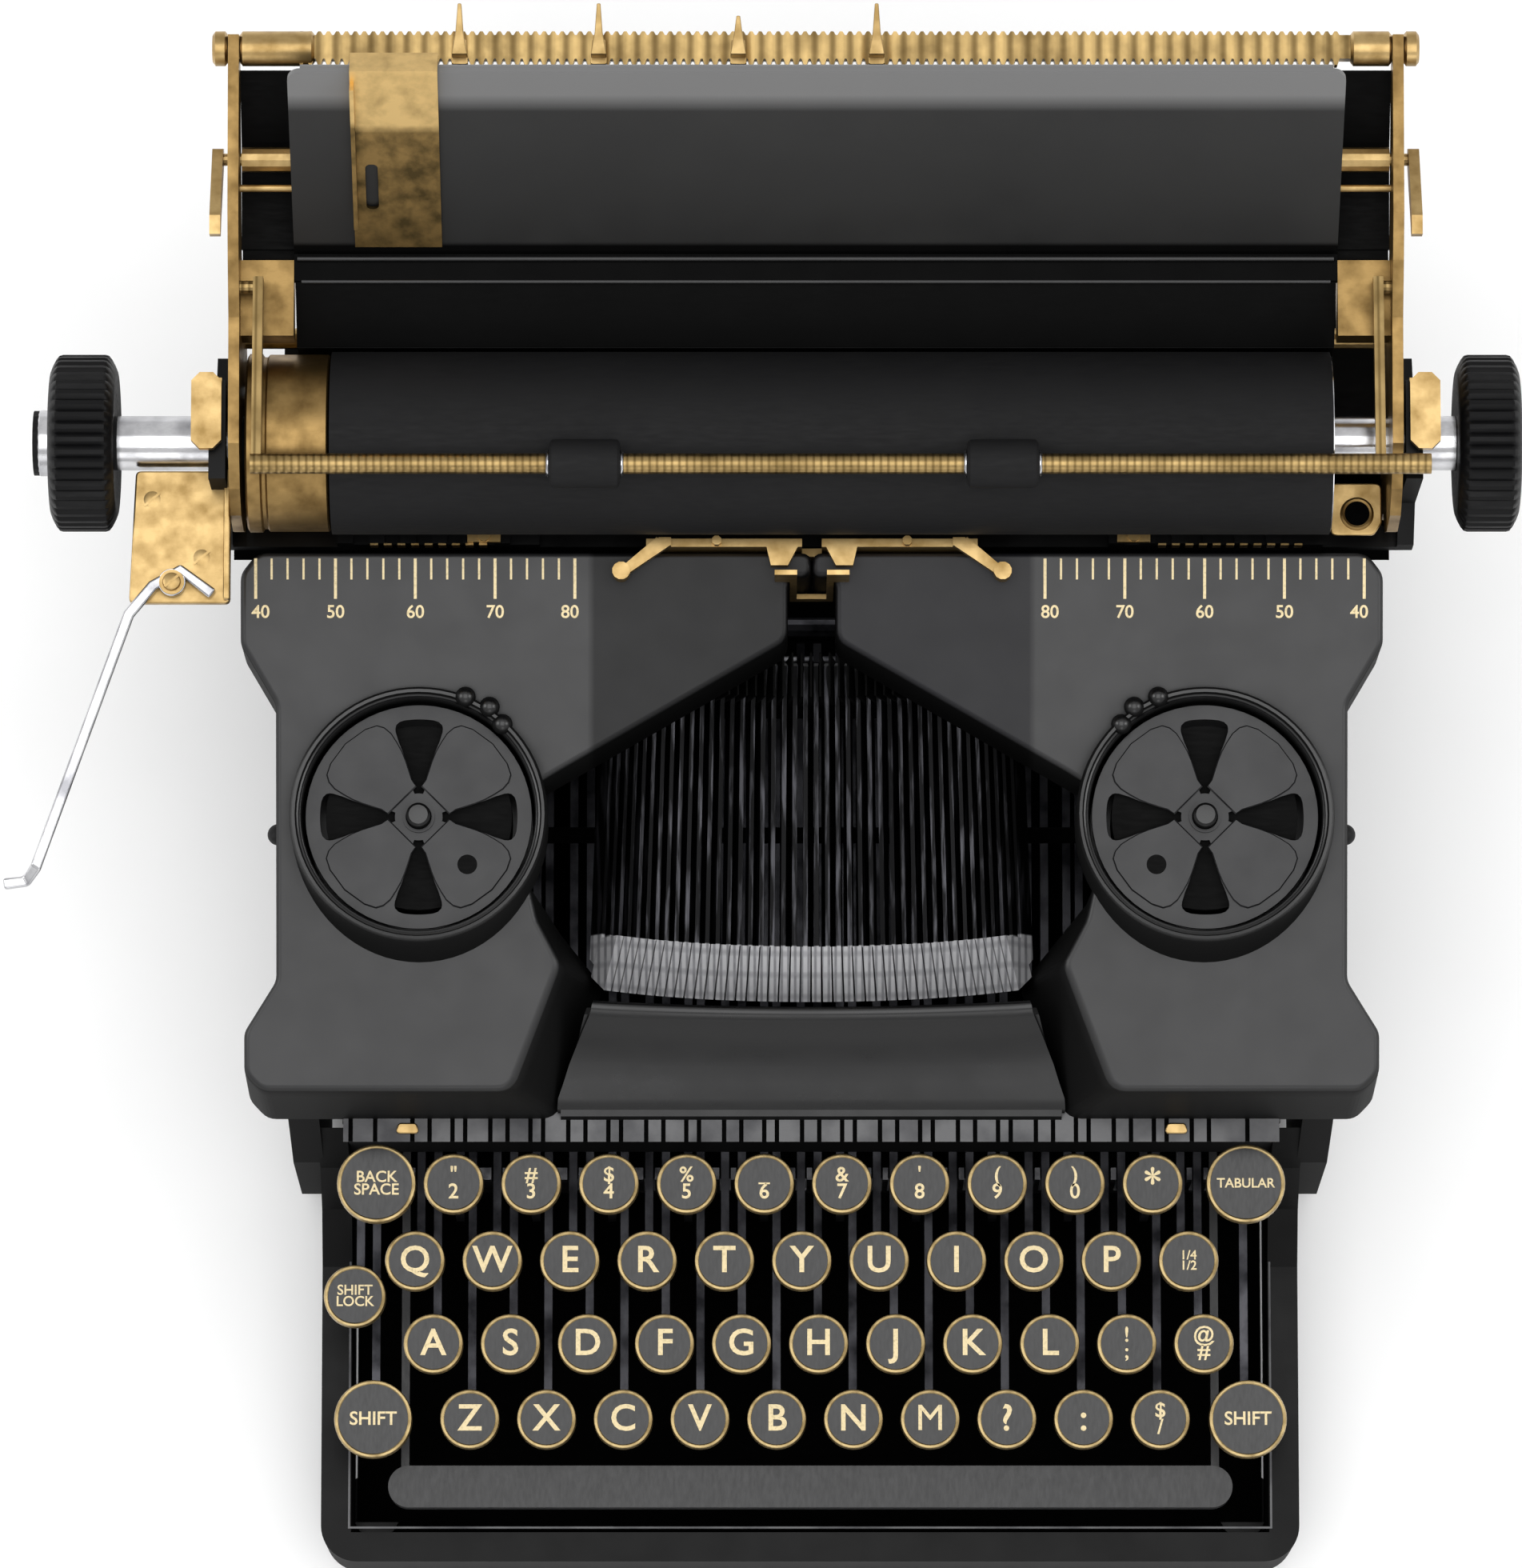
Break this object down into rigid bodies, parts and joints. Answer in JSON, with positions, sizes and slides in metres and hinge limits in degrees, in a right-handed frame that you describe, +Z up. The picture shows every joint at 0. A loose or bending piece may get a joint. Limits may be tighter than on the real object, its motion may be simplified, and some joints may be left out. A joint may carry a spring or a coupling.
{
  "type": "typewriter",
  "caption": "Front-strike desk typewriter with four key rows, fanned typebars, two ribbon spools under sloping covers and a wide sliding carriage.",
  "frame": {"origin": "centre of the footprint box, on the table", "axes": "+X to the typist's right along the carriage, +Y from the space bar to the back, +Z up"},
  "size_m": [0.3642, 0.357, 0.24],
  "materials": {
    "black_enamel": "gloss black enamel",
    "frame_enamel": "satin black enamel",
    "bright_steel": "nickel plated",
    "grey_steel": "bright worked steel",
    "brass": "aged brass",
    "black_rubber": "hard rubber",
    "foot_rubber": "soft rubber",
    "key_top": "gloss black key tops in metal rings",
    "knob_plastic": "gloss black moulding"
  },
  "bodies": {
    "body": {"feet": "foot_rubber", "front_rail": "frame_enamel", "side_frame_left": "frame_enamel", "side_frame_right": "frame_enamel", "rear_frame": "frame_enamel", "cover_left": "black_enamel", "cover_right": "black_enamel", "front_panel": "black_enamel", "ribbon_cups": "frame_enamel", "type_segment": "grey_steel", "typebars": "grey_steel", "key_guides": "grey_steel", "type_guide": "brass", "carriage_rails": "grey_steel"},
    "mainspring": {"mainspring_drum": "grey_steel"},
    "spool_l": {"spool_left": "black_enamel"},
    "spool_r": {"spool_right": "black_enamel"},
    "vibrator": {"ribbon_vibrator": "brass"},
    "reverse_rod": {"ribbon_reverse_rod": "bright_steel"},
    "spacer": {"space_bar": "key_top"},
    "shifter": {"shift_keys": "key_top"},
    "locker": {"shift_lock": "key_top"},
    "backspacer": {"backspace_key": "key_top"},
    "tabulator": {"tabulator_key": "key_top"},
    "striker_key": {"striking_key": "key_top"},
    "striker_bar": {"striking_typebar": "grey_steel"},
    "carriage": {"carriage_bed": "frame_enamel"},
    "margin_l": {"margin_stop_left": "brass"},
    "margin_r": {"margin_stop_right": "brass"},
    "release_l": {"carriage_release_left": "brass"},
    "release_r": {"carriage_release_right": "brass"},
    "platen_frame": {"end_plate_left": "brass", "end_plate_right": "brass", "cross_rods": "brass", "paper_deflector": "frame_enamel", "paper_table": "black_enamel", "tab_rack": "brass", "lever_bracket": "brass"},
    "feed_front": {"feed_roll_front": "black_rubber"},
    "feed_rear": {"feed_roll_rear": "black_rubber"},
    "platen": {"platen_roller": "black_rubber", "line_space_ratchet": "brass", "knob_left": "knob_plastic", "knob_right": "knob_plastic"},
    "return_arm": {"return_lever": "bright_steel"},
    "release_shaft": {"paper_release": "brass"},
    "guide": {"paper_guide": "brass"},
    "bail": {"bail_frame": "brass"},
    "bail_roll_l": {"bail_roller_left": "black_rubber"},
    "bail_roll_r": {"bail_roller_right": "black_rubber"},
    "keys_1": {"key_column_1": "key_top"},
    "keys_2": {"key_column_2": "key_top"},
    "keys_3": {"key_column_3": "key_top"},
    "keys_4": {"key_column_4": "key_top"},
    "keys_5": {"key_column_5": "key_top"},
    "keys_6": {"key_column_6": "key_top"},
    "keys_7": {"key_column_7": "key_top"},
    "keys_8": {"key_column_8": "key_top"},
    "keys_9": {"key_column_9": "key_top"},
    "keys_10": {"key_column_10": "key_top"}
  },
  "joints": [
    {"name": "carriage_slide", "type": "slide", "parent": "body", "child": "carriage", "axis": [1, 0, 0], "range_m": [-0.11, 0.11]},
    {"name": "mainspring_turn", "type": "hinge", "parent": "body", "child": "mainspring", "pos_m": [-0.06583, 0.1205, 0.106], "axis": [0, 1, 0], "range_deg": [-290, 290]},
    {"name": "platen_lift", "type": "slide", "parent": "carriage", "child": "platen_frame", "axis": [0, 0, 1], "range_m": [0, 0.0065]},
    {"name": "shift_press", "type": "hinge", "parent": "body", "child": "shifter", "pos_m": [0.01217, 0.0595, 0.029], "axis": [1, 0, 0], "range_deg": [0, 4.2]},
    {"name": "space_press", "type": "hinge", "parent": "body", "child": "spacer", "pos_m": [0.01217, 0.0495, 0.0357], "axis": [1, 0, 0], "range_deg": [0, 3], "stiffness_Nm_per_rad": 1.5, "springref_deg": -11.46},
    {"name": "shift_lock_press", "type": "hinge", "parent": "body", "child": "locker", "pos_m": [0.01217, 0.0495, 0.0357], "axis": [1, 0, 0], "range_deg": [0, 3], "stiffness_Nm_per_rad": 1, "springref_deg": -8.59},
    {"name": "backspace_press", "type": "hinge", "parent": "body", "child": "backspacer", "pos_m": [0.01217, 0.0495, 0.0357], "axis": [1, 0, 0], "range_deg": [0, 3.5], "stiffness_Nm_per_rad": 1, "springref_deg": -8.59},
    {"name": "tabulator_press", "type": "hinge", "parent": "body", "child": "tabulator", "pos_m": [0.01217, 0.0495, 0.0357], "axis": [1, 0, 0], "range_deg": [0, 3.5], "stiffness_Nm_per_rad": 1, "springref_deg": -8.59},
    {"name": "key_press_1", "type": "hinge", "parent": "body", "child": "keys_1", "pos_m": [0.01217, 0.0495, 0.0357], "axis": [1, 0, 0], "range_deg": [0, 4.2], "stiffness_Nm_per_rad": 1.5, "springref_deg": -11.46},
    {"name": "key_press_2", "type": "hinge", "parent": "body", "child": "keys_2", "pos_m": [0.01217, 0.0495, 0.0357], "axis": [1, 0, 0], "range_deg": [0, 4.2], "stiffness_Nm_per_rad": 1.5, "springref_deg": -11.46},
    {"name": "key_press_3", "type": "hinge", "parent": "body", "child": "keys_3", "pos_m": [0.01217, 0.0495, 0.0357], "axis": [1, 0, 0], "range_deg": [0, 4.2], "stiffness_Nm_per_rad": 1.5, "springref_deg": -11.46},
    {"name": "key_press_4", "type": "hinge", "parent": "body", "child": "keys_4", "pos_m": [0.01217, 0.0495, 0.0357], "axis": [1, 0, 0], "range_deg": [0, 4.2], "stiffness_Nm_per_rad": 1.5, "springref_deg": -11.46},
    {"name": "key_press_5", "type": "hinge", "parent": "body", "child": "keys_5", "pos_m": [0.01217, 0.0495, 0.0357], "axis": [1, 0, 0], "range_deg": [0, 4.2], "stiffness_Nm_per_rad": 1.5, "springref_deg": -11.46},
    {"name": "key_press_6", "type": "hinge", "parent": "body", "child": "keys_6", "pos_m": [0.01217, 0.0495, 0.0357], "axis": [1, 0, 0], "range_deg": [0, 4.2], "stiffness_Nm_per_rad": 1.5, "springref_deg": -11.46},
    {"name": "key_press_7", "type": "hinge", "parent": "body", "child": "keys_7", "pos_m": [0.01217, 0.0495, 0.0357], "axis": [1, 0, 0], "range_deg": [0, 4.2], "stiffness_Nm_per_rad": 1.5, "springref_deg": -11.46},
    {"name": "key_press_8", "type": "hinge", "parent": "body", "child": "keys_8", "pos_m": [0.01217, 0.0495, 0.0357], "axis": [1, 0, 0], "range_deg": [0, 4.2], "stiffness_Nm_per_rad": 1.5, "springref_deg": -11.46},
    {"name": "key_press_9", "type": "hinge", "parent": "body", "child": "keys_9", "pos_m": [0.01217, 0.0495, 0.0357], "axis": [1, 0, 0], "range_deg": [0, 4.2], "stiffness_Nm_per_rad": 1.5, "springref_deg": -11.46},
    {"name": "key_press_10", "type": "hinge", "parent": "body", "child": "keys_10", "pos_m": [0.01217, 0.0495, 0.0357], "axis": [1, 0, 0], "range_deg": [0, 4.2], "stiffness_Nm_per_rad": 1.5, "springref_deg": -11.46},
    {"name": "striking_key_press", "type": "hinge", "parent": "body", "child": "striker_key", "pos_m": [0.01217, 0.0495, 0.0357], "axis": [1, 0, 0], "range_deg": [0, 4.2], "stiffness_Nm_per_rad": 1.5, "springref_deg": -8.59},
    {"name": "typebar_swing", "type": "hinge", "parent": "body", "child": "striker_bar", "pos_m": [0.01348, 0.0328, 0.10901], "axis": [-0.9998, 0, -0.0189], "range_deg": [0, 109.5]},
    {"name": "spool_left_turn", "type": "hinge", "parent": "body", "child": "spool_l", "pos_m": [-0.08283, -0.0081, 0.14], "axis": [0, 0, 1], "continuous": true},
    {"name": "spool_right_turn", "type": "hinge", "parent": "body", "child": "spool_r", "pos_m": [0.10717, -0.0081, 0.14], "axis": [0, 0, 1], "continuous": true},
    {"name": "ribbon_lift", "type": "slide", "parent": "body", "child": "vibrator", "axis": [0, 0, 1], "range_m": [0, 0.008]},
    {"name": "ribbon_reverse", "type": "slide", "parent": "body", "child": "reverse_rod", "axis": [1, 0, 0], "range_m": [-0.0015, 0.0015]},
    {"name": "margin_left_slide", "type": "slide", "parent": "carriage", "child": "margin_l", "axis": [1, 0, 0], "range_m": [-0.031, 0.009]},
    {"name": "margin_right_slide", "type": "slide", "parent": "carriage", "child": "margin_r", "axis": [1, 0, 0], "range_m": [-0.002, 0.041]},
    {"name": "carriage_release_left_press", "type": "hinge", "parent": "carriage", "child": "release_l", "pos_m": [-0.13023, 0.0915, 0.195], "axis": [1, 0, 0], "range_deg": [0, 4], "stiffness_Nm_per_rad": 0.05, "springref_deg": -8.59},
    {"name": "carriage_release_right_press", "type": "hinge", "parent": "carriage", "child": "release_r", "pos_m": [0.15617, 0.0915, 0.195], "axis": [1, 0, 0], "range_deg": [0, 4], "stiffness_Nm_per_rad": 0.05, "springref_deg": -8.59},
    {"name": "paper_release_turn", "type": "hinge", "parent": "platen_frame", "child": "release_shaft", "pos_m": [0.01217, 0.144, 0.2], "axis": [1, 0, 0], "range_deg": [0, 20]},
    {"name": "paper_guide_slide", "type": "slide", "parent": "platen_frame", "child": "guide", "axis": [1, 0, 0], "range_m": [-0.012, 0.1]},
    {"name": "platen_spin", "type": "hinge", "parent": "platen_frame", "child": "platen", "pos_m": [0.01217, 0.0795, 0.176], "axis": [1, 0, 0], "continuous": true},
    {"name": "feed_front_spin", "type": "hinge", "parent": "platen_frame", "child": "feed_front", "pos_m": [0.01217, 0.0685, 0.15091], "axis": [1, 0, 0], "continuous": true},
    {"name": "feed_rear_spin", "type": "hinge", "parent": "platen_frame", "child": "feed_rear", "pos_m": [0.01217, 0.0905, 0.15091], "axis": [1, 0, 0], "continuous": true},
    {"name": "paper_bail", "type": "hinge", "parent": "platen_frame", "child": "bail", "pos_m": [0.01217, 0.1135, 0.197], "axis": [-1, 0, 0], "range_deg": [0, 75]},
    {"name": "bail_roller_left_spin", "type": "hinge", "parent": "bail", "child": "bail_roll_l", "pos_m": [-0.04213, 0.0695, 0.20237], "axis": [1, 0, 0], "continuous": true},
    {"name": "bail_roller_right_spin", "type": "hinge", "parent": "bail", "child": "bail_roll_r", "pos_m": [0.05752, 0.0695, 0.20237], "axis": [1, 0, 0], "continuous": true},
    {"name": "return_lever_swing", "type": "hinge", "parent": "platen_frame", "child": "return_arm", "pos_m": [-0.14143, 0.0445, 0.181], "axis": [0, 0, 1], "range_deg": [0, 38], "stiffness_Nm_per_rad": 0.1, "springref_deg": -11.46}
  ],
  "couplings": [
    {"joint": "mainspring_turn", "follows": "carriage_slide", "rad_per_m": 45.455},
    {"joint": "shift_press", "follows": "platen_lift", "rad_per_m": 10.74},
    {"joint": "typebar_swing", "follows": "striking_key_press", "ratio": 25.952},
    {"joint": "ribbon_lift", "follows": "striking_key_press", "m_per_rad": 0.109},
    {"joint": "feed_front_spin", "follows": "platen_spin", "ratio": -4.4},
    {"joint": "feed_rear_spin", "follows": "platen_spin", "ratio": -4.4}
  ]
}
